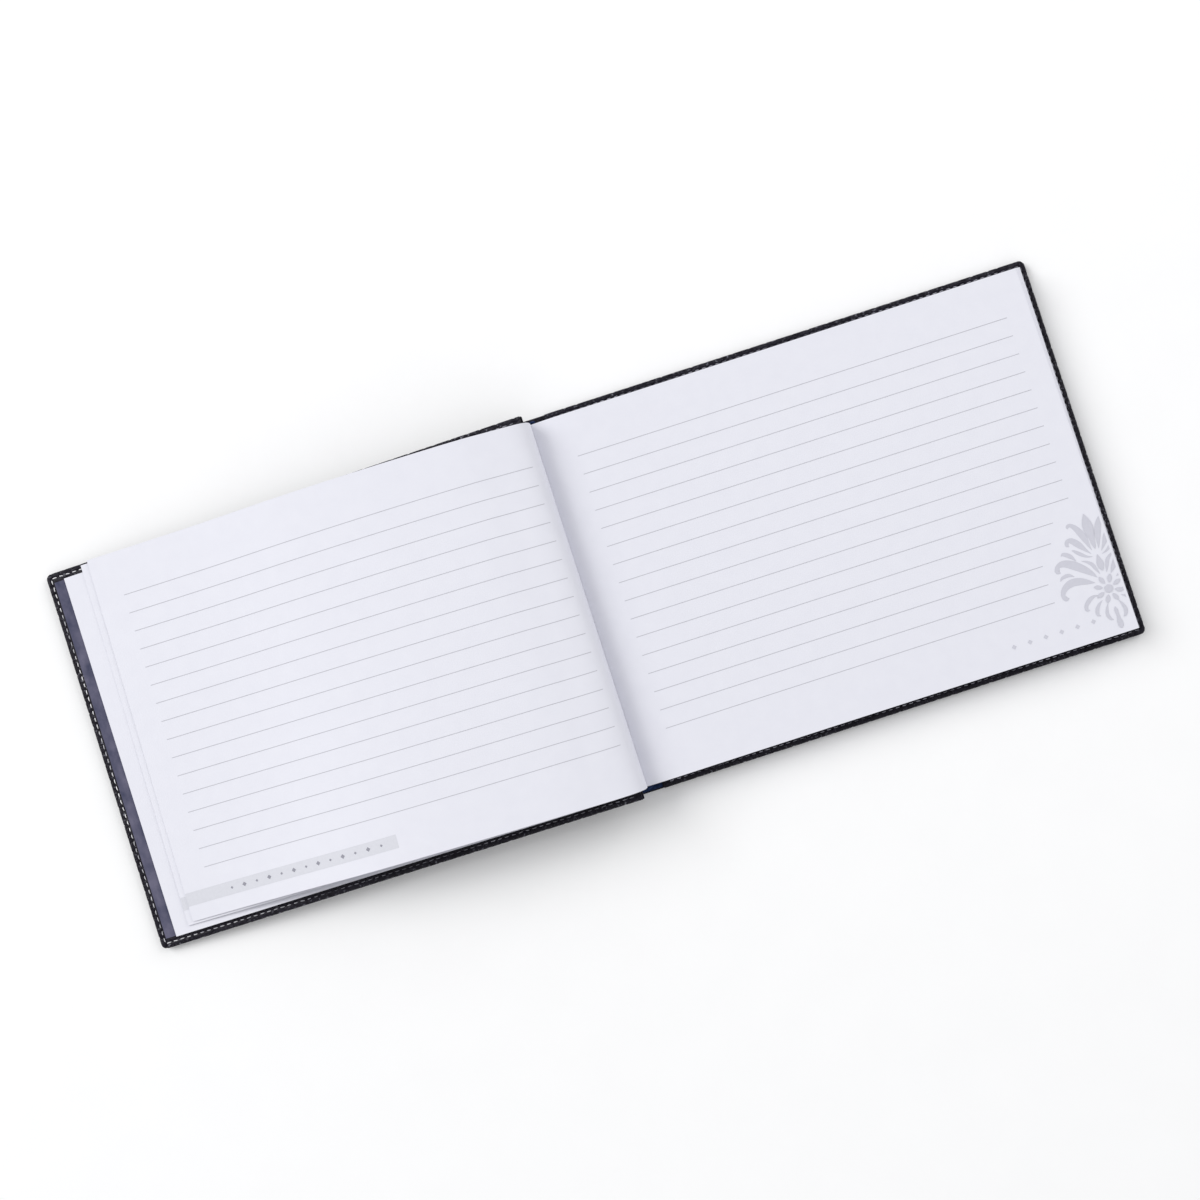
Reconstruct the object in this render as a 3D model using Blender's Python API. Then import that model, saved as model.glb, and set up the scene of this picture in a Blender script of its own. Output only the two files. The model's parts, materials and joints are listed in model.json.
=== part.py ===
"""A landscape guest book in stitched black leather, lying open near its front on its back cover.

The frame has +X across the spread towards the rear pages, +Y towards the head of the page and +Z up.
The origin is on the surface the book lies on, midway between the two outer cover edges.

The case is three rigid parts: the back cover lies flat, the spine leans back on it, and the front
cover hangs from the spine and comes down to the surface at its outer edge.  All three meet along
leather joints, each an axis parallel to Y.  The leaves before the opening turn about the gutter.
"""

import math

import bmesh
import bpy
from mathutils import Matrix, Vector

MM = 0.001

# Covers: 9 x 7 inch boards with their leather
COVER_WIDTH = 228.6 * MM
COVER_HEIGHT = 177.8 * MM
COVER_CORNER_RADIUS = 2.5 * MM
LEATHER = 0.5 * MM
TURN_IN_WIDTH = 15.0 * MM
TURN_IN_TOP = 3.5 * MM
TURN_IN_BOTTOM = 2.9 * MM
BOARD_LOW = 0.7 * MM
BOARD_HIGH = 2.7 * MM
ENDPAPER_MARGIN = 4.5 * MM
ENDPAPER_FOREDGE_MARGIN = 3.4 * MM
ENDPAPER_LOW = 3.6 * MM
ENDPAPER_HIGH = 3.8 * MM
GAP = 0.1 * MM

# The seam near the outer edges of each cover
SEAM_INSET = 2.4 * MM
SEAM_RADIUS = 0.2 * MM
SEAM_SIDES = 6

# Spine: a leather strip with a stiffener, turned about the back joint
JOINT_LEATHER = 0.8 * MM
JOINT_AXIS_HEIGHT = 0.4 * MM
BACK_JOINT_WIDTH = 6.9 * MM
FRONT_JOINT_WIDTH = 7.0 * MM
SPINE_LENGTH = 17.1 * MM
SPINE_LEAN = math.radians(31.6)
SPINE_LOW = 1.3 * MM
SPINE_OUTSIDE = -2.6 * MM
SPINE_SPLIT = -1.75 * MM
SPINE_INSIDE = -0.8 * MM
JOINT_BEND_ROOM = 2.1 * MM
JOINT_UNDER_SPINE = 0.7 * MM

# Paper
PAGE_HEIGHT = 169.6 * MM
LEAF = 0.15 * MM
BLOCK_BACK = -1.7 * MM
BLOCK_LOW = 4.4 * MM
SECTION_COUNT = 6
SECTION = 1.2 * MM
GUTTER_X = -1.9 * MM
GUTTER_Z = 13.0 * MM

# Fore-edge of the rear leaves: where each ends at the head and at the foot
BLOCK_ENDS = (227.9 * MM, 228.0 * MM)
LOOSE_LEAF_ENDS = ((227.3 * MM, 227.9 * MM), (226.7 * MM, 227.8 * MM))
TURNING_LEAF_ENDS = (226.0 * MM, 227.6 * MM)

# Behind the folds: gauze, lining, thread and a band at each end
GAUZE_BACK, GAUZE_FRONT, GAUZE_HALF = -2.3 * MM, -2.05 * MM, 75.0 * MM
LINING_BACK, LINING_FRONT, LINING_HALF = -2.65 * MM, -2.4 * MM, 83.0 * MM
BAND_X, BAND_RADIUS, BAND_PAST_PAGE = -1.2 * MM, 0.75 * MM, 0.9 * MM
KETTLE_X, KETTLE_Y, KETTLE_RADIUS = -1.88 * MM, 72.0 * MM, 0.1 * MM

# The leaves before the opening: (x, z) in millimetres from the gutter to the fore-edge, and the turn
# of each leaf in its own plane
FLYLEAF_PATH = [
    (-2.9, 12.3), (-4.3, 18.0), (-7.0, 22.75), (-20.0, 24.6), (-45.0, 23.8), (-80.0, 19.6),
    (-120.0, 14.6), (-160.0, 10.8), (-224.8, 5.15),
]
FLYLEAF_SKEW = 0.0
SECOND_LEAF_PATH = [
    (-2.5, 12.6), (-3.2, 18.4), (-5.2, 23.3), (-10.0, 25.4), (-20.0, 26.9), (-43.0, 28.4),
    (-80.0, 25.6), (-120.0, 19.2), (-160.0, 12.9), (-190.0, 9.0), (-216.6, 6.3),
]
SECOND_LEAF_SKEW = math.radians(0.8)
TOP_LEAF_PATH = [
    (-2.1, 12.9), (-2.35, 18.6), (-3.9, 24.0), (-9.0, 27.3), (-20.0, 29.2), (-42.0, 31.0),
    (-80.0, 29.4), (-119.0, 24.0), (-156.0, 15.2), (-190.0, 9.9), (-213.4, 7.2),
]
TOP_LEAF_SKEW = math.radians(1.1)
SKEW_RUN = 40.0 * MM

BACK_AXIS_X = -2.18 * MM


def material(name, colour, roughness):
    """A Principled material for one kind of surface."""
    found = bpy.data.materials.get(name) or bpy.data.materials.new(name)
    found.use_nodes = True
    surface = found.node_tree.nodes["Principled BSDF"]
    surface.inputs["Base Color"].default_value = (*colour, 1.0)
    surface.inputs["Roughness"].default_value = roughness
    surface.inputs["Metallic"].default_value = 0.0
    return found


def leather_material():
    return material("leather", (0.014, 0.013, 0.019), 0.42)


def board_material():
    return material("grey_board", (0.33, 0.29, 0.24), 0.9)


def paper_material():
    return material("page_paper", (0.84, 0.84, 0.90), 0.85)


def endpaper_material():
    return material("slate_endpaper", (0.09, 0.085, 0.14), 0.8)


def thread_material():
    return material("white_thread", (0.80, 0.80, 0.82), 0.6)


def band_material():
    return material("navy_band", (0.01, 0.02, 0.09), 0.7)


def gauze_material():
    return material("mull_gauze", (0.72, 0.69, 0.60), 0.95)


def empty(name, parent=None, matrix=None):
    """An axis that a group of pieces is placed on."""
    axis = bpy.data.objects.new(name, None)
    bpy.context.scene.collection.objects.link(axis)
    axis.parent = parent
    axis.matrix_local = matrix or Matrix.Identity(4)
    return axis


def piece(name, mesh_data, surface, parent):
    """Link one named piece, made from a bmesh, under its axis."""
    bmesh.ops.recalc_face_normals(mesh_data, faces=mesh_data.faces)
    mesh = bpy.data.meshes.new(name)
    mesh_data.to_mesh(mesh)
    mesh_data.free()
    mesh.materials.append(surface)
    made = bpy.data.objects.new(name, mesh)
    bpy.context.scene.collection.objects.link(made)
    made.parent = parent
    return made


def prism(outline, low, high):
    """A closed prism: a plan outline of (x, y) raised from z = low to z = high."""
    shape = bmesh.new()
    bottom = [shape.verts.new((x, y, low)) for x, y in outline]
    top = [shape.verts.new((x, y, high)) for x, y in outline]
    shape.faces.new(reversed(bottom))
    shape.faces.new(top)
    for i in range(len(outline)):
        j = (i + 1) % len(outline)
        shape.faces.new((bottom[i], bottom[j], top[j], top[i]))
    return shape


def rectangle(x0, x1, half_height):
    """Plan outline of a rectangle that is centred on the X axis."""
    return [(x0, -half_height), (x1, -half_height), (x1, half_height), (x0, half_height)]


def round_cornered(x0, x1, half_height, radius):
    """Plan outline of a cover: square at the joint side, with two rounded outer corners."""
    steps = 5
    outline = [(x0, -half_height)]
    for side in (-1, 1):
        for i in range(steps + 1):
            turn = math.radians(90) * i / steps
            if side < 0:
                along, across = math.sin(turn), math.cos(turn)
            else:
                along, across = math.cos(turn), math.sin(turn)
            centre_y = side * (half_height - radius)
            outline.append((x1 - radius + radius * along, centre_y + side * radius * across))
    outline.append((x0, half_height))
    return outline


def cut(target, cutter_shape, name):
    """Cut a guide shape out of a piece with an exact Boolean."""
    mesh = bpy.data.meshes.new(name)
    bmesh.ops.recalc_face_normals(cutter_shape, faces=cutter_shape.faces)
    cutter_shape.to_mesh(mesh)
    cutter_shape.free()
    guide = bpy.data.objects.new(name, mesh)
    bpy.context.scene.collection.objects.link(guide)
    guide.parent = target.parent
    guide.hide_render = True
    guide.display_type = "WIRE"
    boolean = target.modifiers.new(name, "BOOLEAN")
    boolean.operation = "DIFFERENCE"
    boolean.solver = "EXACT"
    boolean.object = guide


def cover_leather(side, axis):
    """The leather of one cover: an outer skin, folded round the edges and turned in on three sides."""
    past_joint = -1.0 * MM
    inner_half = COVER_HEIGHT / 2 - LEATHER - GAP
    plan = round_cornered(GAP * 3, COVER_WIDTH, COVER_HEIGHT / 2, COVER_CORNER_RADIUS)
    skin = piece(f"{side}_cover_leather", prism(plan, 0.0, TURN_IN_TOP), leather_material(), axis)
    pocket = rectangle(past_joint, COVER_WIDTH - LEATHER - GAP, inner_half)
    cut(skin, prism(pocket, LEATHER, TURN_IN_BOTTOM), f"{side}_board_pocket")
    window = rectangle(past_joint, COVER_WIDTH - TURN_IN_WIDTH, COVER_HEIGHT / 2 - TURN_IN_WIDTH)
    cut(skin, prism(window, BOARD_HIGH - GAP, TURN_IN_TOP + MM), f"{side}_turn_in_window")


def cover_board(side, axis):
    """The stiff board inside one cover."""
    edge = LEATHER + 3 * GAP
    plan = rectangle(GAP * 8, COVER_WIDTH - edge, COVER_HEIGHT / 2 - edge)
    piece(f"{side}_board", prism(plan, BOARD_LOW, BOARD_HIGH), board_material(), axis)


def cover_endpaper(side, axis):
    """The endpaper pasted over the turn-ins on the inside of one cover."""
    width = COVER_WIDTH - ENDPAPER_FOREDGE_MARGIN
    plan = rectangle(GAP * 8, width, COVER_HEIGHT / 2 - ENDPAPER_MARGIN)
    shape = prism(plan, ENDPAPER_LOW, ENDPAPER_HIGH)
    piece(f"{side}_pastedown", shape, endpaper_material(), axis)


def cover_seam(side, axis):
    """The edge seam of one cover: a thread laid along its three outer edges."""
    half = COVER_HEIGHT / 2 - SEAM_INSET
    far = COVER_WIDTH - SEAM_INSET
    near = 2.0 * MM
    height = TURN_IN_TOP + GAP + SEAM_RADIUS
    route = [(near, -half), (far, -half), (far, half), (near, half)]
    turns = [(0, 1), (-1, 1), (-1, -1), (0, -1)]
    shape = bmesh.new()
    rings = []
    for (x, y), (inward_x, inward_y) in zip(route, turns):
        ring = []
        for i in range(SEAM_SIDES):
            angle = 2 * math.pi * i / SEAM_SIDES
            out = SEAM_RADIUS * math.cos(angle)
            up = SEAM_RADIUS * math.sin(angle)
            ring.append(shape.verts.new((x + inward_x * out, y + inward_y * out, height + up)))
        rings.append(ring)
    for start, stop in zip(rings, rings[1:]):
        for i in range(SEAM_SIDES):
            j = (i + 1) % SEAM_SIDES
            shape.faces.new((start[i], start[j], stop[j], stop[i]))
    shape.faces.new(rings[0])
    shape.faces.new(rings[-1])
    piece(f"{side}_cover_stitching", shape, thread_material(), axis)


def cover(side, axis):
    """All the pieces of one cover, from the outside in."""
    cover_leather(side, axis)
    cover_board(side, axis)
    cover_endpaper(side, axis)
    cover_seam(side, axis)


def back_joint(root):
    """The leather between the back cover and the spine, lying on the surface."""
    left = BACK_AXIS_X - JOINT_UNDER_SPINE
    right = BACK_AXIS_X + BACK_JOINT_WIDTH - GAP
    plan = rectangle(left, right, COVER_HEIGHT / 2)
    piece("back_joint_leather", prism(plan, 0.0, JOINT_LEATHER), leather_material(), root)


def spine(axis):
    """The spine strip with its stiffener, and the front joint that stands square to its top."""
    half = COVER_HEIGHT / 2
    top = SPINE_LENGTH + JOINT_LEATHER / 2
    leather = prism(rectangle(SPINE_OUTSIDE, SPINE_SPLIT, half), SPINE_LOW, top)
    piece("spine_leather", leather, leather_material(), axis)
    board_half = half - LEATHER * 2
    board = prism(rectangle(SPINE_SPLIT + GAP, SPINE_INSIDE, board_half), SPINE_LOW, top - LEATHER)
    piece("spine_board", board, board_material(), axis)
    joint_plan = rectangle(SPINE_INSIDE + GAP * 2, FRONT_JOINT_WIDTH - JOINT_BEND_ROOM, half)
    joint = prism(joint_plan, SPINE_LENGTH - JOINT_LEATHER / 2, top)
    piece("front_joint_leather", joint, leather_material(), axis)


def leaf_outline(ends):
    """Plan outline of paper lying flat, from the folds to its own ends at the head and at the foot."""
    head, foot = ends
    half = PAGE_HEIGHT / 2
    return [(BLOCK_BACK, -half), (foot, -half), (head, half), (BLOCK_BACK, half)]


def rear_block(root):
    """The rear flyleaf, the folded sections and the loose leaves above them."""
    fly = prism(leaf_outline(BLOCK_ENDS), ENDPAPER_HIGH + 3 * GAP, BLOCK_LOW - GAP)
    piece("back_flyleaf", fly, paper_material(), root)
    low = BLOCK_LOW
    for number in range(1, SECTION_COUNT + 1):
        section = prism(leaf_outline(BLOCK_ENDS), low, low + SECTION)
        piece(f"rear_section_{number}", section, paper_material(), root)
        low += SECTION + GAP
    for number, ends in enumerate(LOOSE_LEAF_ENDS, start=1):
        leaf = prism(leaf_outline(ends), low, low + LEAF)
        piece(f"rear_loose_leaf_{number}", leaf, paper_material(), root)
        low += LEAF + GAP
    return low


def turning_leaf(axis, low):
    """The uppermost rear leaf, which turns over the gutter."""
    shape = prism(leaf_outline(TURNING_LEAF_ENDS), low, low + LEAF)
    bmesh.ops.translate(shape, verts=shape.verts, vec=-axis.location)
    piece("turning_leaf", shape, paper_material(), axis)


def back_of_block(root, block_top):
    """What holds the sections together behind them: thread, gauze, lining and two bands."""
    top = block_top - 2 * GAP
    mull = prism(rectangle(GAUZE_BACK, GAUZE_FRONT, GAUZE_HALF), BLOCK_LOW, top)
    piece("mull", mull, gauze_material(), root)
    lining = prism(rectangle(LINING_BACK, LINING_FRONT, LINING_HALF), BLOCK_LOW, top)
    piece("spine_lining", lining, board_material(), root)
    for end, sign in (("head", 1), ("tail", -1)):
        band_y = sign * (PAGE_HEIGHT / 2 + BAND_PAST_PAGE)
        band = round_post(BAND_X, band_y, BAND_RADIUS, BLOCK_LOW, top)
        piece(f"{end}_band", band, band_material(), root)
        stitch = round_post(KETTLE_X, sign * KETTLE_Y, KETTLE_RADIUS, BLOCK_LOW, top)
        piece(f"kettle_stitch_{end}", stitch, thread_material(), root)


def round_post(x, y, radius, low, high):
    """A round upright prism."""
    sides = 12
    outline = []
    for i in range(sides):
        angle = 2 * math.pi * i / sides
        outline.append((x + radius * math.cos(angle), y + radius * math.sin(angle)))
    return prism(outline, low, high)


def smooth_path(points, steps):
    """Points along a Catmull-Rom curve through the given (x, z) points."""
    padded = [2 * Vector(points[0]) - Vector(points[1])]
    padded += [Vector(p) for p in points]
    padded += [2 * padded[-1] - padded[-2]]
    path = []
    for a, b, c, d in zip(padded, padded[1:], padded[2:], padded[3:]):
        for i in range(steps):
            t = i / steps
            path.append(
                0.5 * (2 * b + (c - a) * t + (2 * a - 5 * b + 4 * c - d) * t**2
                       + (3 * b - a - 3 * c + d) * t**3)
            )
    path.append(padded[-2])
    return path


def draped_leaf(name, axis, points, skew):
    """A leaf that follows a path over the front cover, turned in its own plane by skew radians."""
    path = smooth_path([(x * MM, z * MM) for x, z in points], 5)
    rows = [-1.0, 0.0, 1.0]
    length = 0.0
    shape = bmesh.new()
    upper = []
    lower = []
    for i, here in enumerate(path):
        before = path[max(i - 1, 0)]
        after = path[min(i + 1, len(path) - 1)]
        length += (here - before).length
        along = (after - before).normalized()
        normal = Vector((along.y, -along.x))
        if normal.y < 0 and abs(normal.x) < abs(normal.y):
            normal = -normal
        settled = min(length / SKEW_RUN, 1.0)
        for sheet, offset in ((upper, LEAF / 2), (lower, -LEAF / 2)):
            at = here + normal * offset
            across = []
            for row in rows:
                y = row * PAGE_HEIGHT / 2
                slide = along * (-y * math.tan(skew) * settled)
                lift = length * math.tan(skew) * settled
                spot = (at.x + slide.x, y + lift, at.y + slide.y)
                across.append(shape.verts.new(Vector(spot) - axis.location))
            sheet.append(across)
    sew_sheet(shape, upper, lower)
    piece(name, shape, paper_material(), axis)


def sew_sheet(shape, upper, lower):
    """Close two matching grids of vertices into one thin solid."""
    rows = len(upper)
    columns = len(upper[0])
    for grid in (upper, lower):
        for i in range(rows - 1):
            for j in range(columns - 1):
                shape.faces.new((grid[i][j], grid[i][j + 1], grid[i + 1][j + 1], grid[i + 1][j]))
    for i in range(rows - 1):
        for j in (0, columns - 1):
            shape.faces.new((upper[i][j], upper[i + 1][j], lower[i + 1][j], lower[i][j]))
    for j in range(columns - 1):
        for i in (0, rows - 1):
            shape.faces.new((upper[i][j], upper[i][j + 1], lower[i][j + 1], lower[i][j]))


def front_leaves(axis):
    """The leaves before the opening: they climb over the front cover's edge and fall away to it."""
    draped_leaf("front_flyleaf", axis, FLYLEAF_PATH, FLYLEAF_SKEW)
    draped_leaf("front_second_leaf", axis, SECOND_LEAF_PATH, SECOND_LEAF_SKEW)
    draped_leaf("front_top_leaf", axis, TOP_LEAF_PATH, TOP_LEAF_SKEW)


def build():
    """Clear the scene, then put the book together from the table up."""
    for old in list(bpy.data.objects):
        bpy.data.objects.remove(old)
    root = empty("book")
    back_edge = BACK_AXIS_X + BACK_JOINT_WIDTH
    back_axis = empty("back_cover_axis", root, Matrix.Translation((back_edge, 0, 0)))
    cover("back", back_axis)
    back_joint(root)
    block_top = rear_block(root)
    back_of_block(root, block_top)
    gutter = (GUTTER_X, 0, GUTTER_Z)
    turning_leaf(empty("turning_leaf_axis", root, Matrix.Translation(gutter)), block_top)

    lean = Matrix.Rotation(-SPINE_LEAN, 4, "Y")
    spine_place = Matrix.Translation((BACK_AXIS_X, 0, JOINT_AXIS_HEIGHT)) @ lean
    spine_axis = empty("spine_axis", root, spine_place)
    spine(spine_axis)

    # The front cover falls from its joint until its outer edge meets the surface.
    joint_place = spine_place @ Matrix.Translation((FRONT_JOINT_WIDTH, 0, SPINE_LENGTH))
    reach = math.hypot(COVER_WIDTH, JOINT_AXIS_HEIGHT)
    sag = math.asin(joint_place.translation.z / reach) - math.atan2(JOINT_AXIS_HEIGHT, COVER_WIDTH)
    opened = Matrix.Rotation(-(math.pi + sag), 4, "Y") @ Matrix.Rotation(math.pi, 4, "X")
    drop = Matrix.Translation((0, 0, -JOINT_AXIS_HEIGHT))
    cover_place = Matrix.Translation(joint_place.translation) @ opened @ drop
    front_axis = empty("front_cover_axis", root, cover_place)
    cover("front", front_axis)
    front_leaves(empty("front_leaves_axis", root, Matrix.Translation(gutter)))


build()
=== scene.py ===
"""The guest book, finished over its CAD frame: stitched black leather case, slate endpapers, ruled leaves.

Every piece is a surface of two parameters worked out as whole arrays.  A cover's leather is one edge
profile carried round the outline of the cover.  A leaf is a ruled sheet: a line of the page keeps its
distance s from the gutter along a curve in the XZ plane, and its height t along Y.  What is printed on a
leaf is laid on that same surface, a few hundredths of a millimetre above the paper.
"""

import json
import math

import bmesh
import bpy
import numpy as np
from mathutils import Matrix, Vector


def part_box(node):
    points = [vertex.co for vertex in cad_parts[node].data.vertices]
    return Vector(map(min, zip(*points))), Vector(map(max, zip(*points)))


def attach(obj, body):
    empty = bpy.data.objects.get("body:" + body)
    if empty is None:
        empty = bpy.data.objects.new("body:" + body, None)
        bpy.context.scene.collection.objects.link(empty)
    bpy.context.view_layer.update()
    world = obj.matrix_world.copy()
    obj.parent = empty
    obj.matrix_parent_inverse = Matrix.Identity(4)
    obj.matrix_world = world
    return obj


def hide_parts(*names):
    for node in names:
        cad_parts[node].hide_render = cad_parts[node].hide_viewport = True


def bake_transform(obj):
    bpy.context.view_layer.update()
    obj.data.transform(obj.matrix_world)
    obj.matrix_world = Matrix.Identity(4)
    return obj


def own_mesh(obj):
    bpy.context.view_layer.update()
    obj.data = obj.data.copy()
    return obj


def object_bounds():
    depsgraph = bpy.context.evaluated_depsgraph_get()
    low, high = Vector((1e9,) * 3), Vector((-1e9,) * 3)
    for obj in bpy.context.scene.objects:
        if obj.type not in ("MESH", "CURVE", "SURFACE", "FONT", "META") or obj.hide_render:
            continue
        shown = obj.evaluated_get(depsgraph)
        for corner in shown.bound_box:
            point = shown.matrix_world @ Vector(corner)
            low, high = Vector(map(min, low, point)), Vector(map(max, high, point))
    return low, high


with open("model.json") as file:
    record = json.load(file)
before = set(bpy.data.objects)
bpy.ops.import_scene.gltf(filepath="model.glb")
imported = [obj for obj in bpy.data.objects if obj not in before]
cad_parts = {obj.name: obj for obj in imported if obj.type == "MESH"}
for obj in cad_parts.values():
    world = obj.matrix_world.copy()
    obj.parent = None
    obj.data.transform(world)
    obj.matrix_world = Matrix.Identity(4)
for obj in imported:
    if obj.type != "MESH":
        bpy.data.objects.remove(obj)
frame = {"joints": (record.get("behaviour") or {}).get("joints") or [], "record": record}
cad_low, cad_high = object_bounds()
MM = 0.001


# ---------------------------------------------------------------------------------------------------
# Boards.  Grey pulp board, cut square and glued inside the leather of both covers and of the spine.
# The lining strip glued on the back of the sewn sections is the same stock, rolled thinner.

def surface(name, colour, roughness):
    """A Principled material with constant colour and roughness, returned with its nodes and links."""
    made = bpy.data.materials.new(name)
    made.use_nodes = True
    nodes = made.node_tree.nodes
    links = made.node_tree.links
    shader = nodes["Principled BSDF"]
    shader.inputs["Base Color"].default_value = (*colour, 1.0)
    shader.inputs["Roughness"].default_value = roughness
    return made, nodes, links, shader


def stretched_place(nodes, links, per_metre):
    """Object coordinates multiplied by (x, y, z) repeats per metre."""
    place = nodes.new("ShaderNodeTexCoord")
    mapping = nodes.new("ShaderNodeMapping")
    mapping.inputs["Scale"].default_value = per_metre
    links.new(place.outputs["Object"], mapping.inputs["Vector"])
    return mapping.outputs["Vector"]


def noise(nodes, links, per_metre, detail=3.0):
    """Fractal noise, 0 to 1, with the given repeats per metre along x, y and z."""
    texture = nodes.new("ShaderNodeTexNoise")
    texture.inputs["Scale"].default_value = 1.0
    texture.inputs["Detail"].default_value = detail
    links.new(stretched_place(nodes, links, per_metre), texture.inputs["Vector"])
    return texture.outputs["Fac"]


def blended_colour(nodes, links, factor, first, second, low=0.3, high=0.7):
    """Colour that runs from first to second as the factor runs from low to high."""
    ramp = nodes.new("ShaderNodeValToRGB")
    ramp.color_ramp.elements[0].position = low
    ramp.color_ramp.elements[0].color = (*first, 1.0)
    ramp.color_ramp.elements[1].position = high
    ramp.color_ramp.elements[1].color = (*second, 1.0)
    links.new(factor, ramp.inputs["Fac"])
    return ramp.outputs["Color"]


def raised(nodes, links, height, depth, strength=1.0, under=None):
    """Bump of the given depth in metres, over another bump if one is given."""
    bump = nodes.new("ShaderNodeBump")
    bump.inputs["Distance"].default_value = depth
    bump.inputs["Strength"].default_value = strength
    links.new(height, bump.inputs["Height"])
    if under is not None:
        links.new(under, bump.inputs["Normal"])
    return bump.outputs["Normal"]


def mapped_value(nodes, links, value, low, high):
    """A 0 to 1 value mapped to the range low to high."""
    mapped = nodes.new("ShaderNodeMapRange")
    mapped.inputs["To Min"].default_value = low
    mapped.inputs["To Max"].default_value = high
    links.new(value, mapped.inputs["Value"])
    return mapped.outputs["Result"]


def grey_board():
    """Pressed grey pulp: flecked, fibrous and dull."""
    made, nodes, links, shader = surface("grey_board", (0.33, 0.29, 0.24), 0.92)
    flecks = noise(nodes, links, (900.0, 900.0, 900.0), 5.0)
    links.new(blended_colour(nodes, links, flecks, (0.24, 0.21, 0.17), (0.42, 0.38, 0.32)),
              shader.inputs["Base Color"])
    fibres = noise(nodes, links, (300.0, 2600.0, 2600.0), 4.0)
    links.new(raised(nodes, links, fibres, 0.00006), shader.inputs["Normal"])
    return made


def dress(nodes_named, finish):
    """Give CAD pieces that keep their shape their finish."""
    for name in nodes_named:
        piece = bpy.data.objects[name]
        for slot in piece.material_slots:
            slot.material = finish


pulp = grey_board()
dress(["front_board", "back_board", "spine_board", "spine_lining"], pulp)


# ---------------------------------------------------------------------------------------------------
# Cover leather.  One skin of black crocodile-embossed leather per cover, wrapped round the board and
# turned in on the inside, where a seam pulls it down along the edge.

BACK = "back"
FRONT = "front"
COVER_THICKNESS = 3.5 * MM
COVER_CORNER = 2.6 * MM
EDGE_ROUNDING = 0.9 * MM
SEAM_INSET = 2.4 * MM
SEAM_PULL = 0.22 * MM
SEAM_PULL_REACH = 0.45 * MM
OUTLINE_STEP = 0.75 * MM
ARC_STEPS = 6
WEAR_REACH = 1.2 * MM

joints = {joint["name"]: joint for joint in frame["joints"]}
spine_lean = math.radians(joints["spine_hinge"]["range_deg"][1])
ratio = next(c["ratio"] for c in frame["record"]["behaviour"]["couplings"]
             if c["joint"] == "front_cover_hinge")
front_sag = spine_lean * (1 + ratio) - math.pi
back_axis = np.array(joints["spine_hinge"]["pos_m"])
front_axis = np.array(joints["front_cover_hinge"]["pos_m"])
axis_height = back_axis[2]

front_out = np.array([-math.cos(front_sag), 0.0, -math.sin(front_sag)])
front_up = np.array([-math.sin(front_sag), 0.0, math.cos(front_sag)])
front_corner = front_axis - axis_height * front_up

cover_low, cover_high = (np.array(corner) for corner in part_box("back_cover_leather"))
joint_gap = 0.3 * MM
back_edge = cover_low[0] - joint_gap
cover_width = cover_high[0] - back_edge
cover_half = cover_high[1]


def on_cover(side, out, across, up):
    """Points at a distance out from the joint edge, across the height and up from the outer face."""
    out, across, up = np.broadcast_arrays(out, across, up)
    if side == BACK:
        return np.stack([back_edge + out, across, up], axis=-1)
    spot = front_corner + out[..., None] * front_out + up[..., None] * front_up
    spot[..., 1] += across
    return spot


def strip_faces(rows, columns, closed_rows=False, closed_columns=False):
    """Quads between neighbouring rows and columns of a grid, as an array of vertex numbers."""
    last_row = rows if closed_rows else rows - 1
    last_column = columns if closed_columns else columns - 1
    i, j = np.meshgrid(np.arange(last_row), np.arange(last_column), indexing="ij")
    i, j = i.ravel(), j.ravel()
    k, m = (i + 1) % rows, (j + 1) % columns
    return np.stack([i * columns + j, k * columns + j, k * columns + m, i * columns + m], axis=1)


def new_piece(name, points, faces, finish, sharp=50.0, outward=True):
    """A mesh object from points and faces, with its doubles merged, facing outwards and shaded smooth."""
    mesh = bpy.data.meshes.new(name)
    faces = [face.tolist() if hasattr(face, "tolist") else list(face) for face in faces]
    mesh.from_pydata(np.asarray(points).reshape(-1, 3).tolist(), [], faces)
    if outward:
        work = bmesh.new()
        work.from_mesh(mesh)
        bmesh.ops.remove_doubles(work, verts=work.verts, dist=1e-7)
        bmesh.ops.recalc_face_normals(work, faces=work.faces)
        work.to_mesh(mesh)
        work.free()
    mesh.shade_smooth()
    mesh.set_sharp_from_angle(angle=math.radians(sharp))
    made = bpy.data.objects.new(name, mesh)
    bpy.context.scene.collection.objects.link(made)
    mesh.materials.append(finish)
    return made


def outline_walk(width, half, radius, step):
    """Points and inward directions round a cover with two rounded outer corners, and the way walked.

    The joint side has no turned edge, so its points only close up along it as the others move inwards.
    """
    straight = [((0, -half), (width - radius, -half), (0, 1)),
                ((width, -half + radius), (width, half - radius), (-1, 0)),
                ((width - radius, half), (0, half), (0, -1)),
                ((0, half), (0, -half), (0, 0))]
    corners = {0: ((width - radius, -half + radius), -90), 1: ((width - radius, half - radius), 0)}
    spots, inwards = [], []
    for number, (start, stop, inward) in enumerate(straight):
        start, stop = np.array(start), np.array(stop)
        count = max(int(np.linalg.norm(stop - start) / step), 2)
        share = np.linspace(0, 1, count, endpoint=False)[:, None]
        spots.append(start + (stop - start) * share)
        ways = np.tile(np.array(inward, float), (count, 1))
        if inward == (0, 0):
            ways[:, 1] = -spots[-1][:, 1] / half
        inwards.append(ways)
        if number in corners:
            centre, first = corners[number]
            turn = np.radians(first + np.linspace(0, 90, 8, endpoint=False))
            round_way = np.stack([np.cos(turn), np.sin(turn)], axis=1)
            spots.append(np.array(centre) + radius * round_way)
            inwards.append(-round_way)
    spots, inwards = np.concatenate(spots), np.concatenate(inwards)
    steps = np.linalg.norm(np.roll(spots, -1, axis=0) - spots, axis=1)
    return spots, inwards, np.concatenate([[0.0], np.cumsum(steps)[:-1]])


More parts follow.
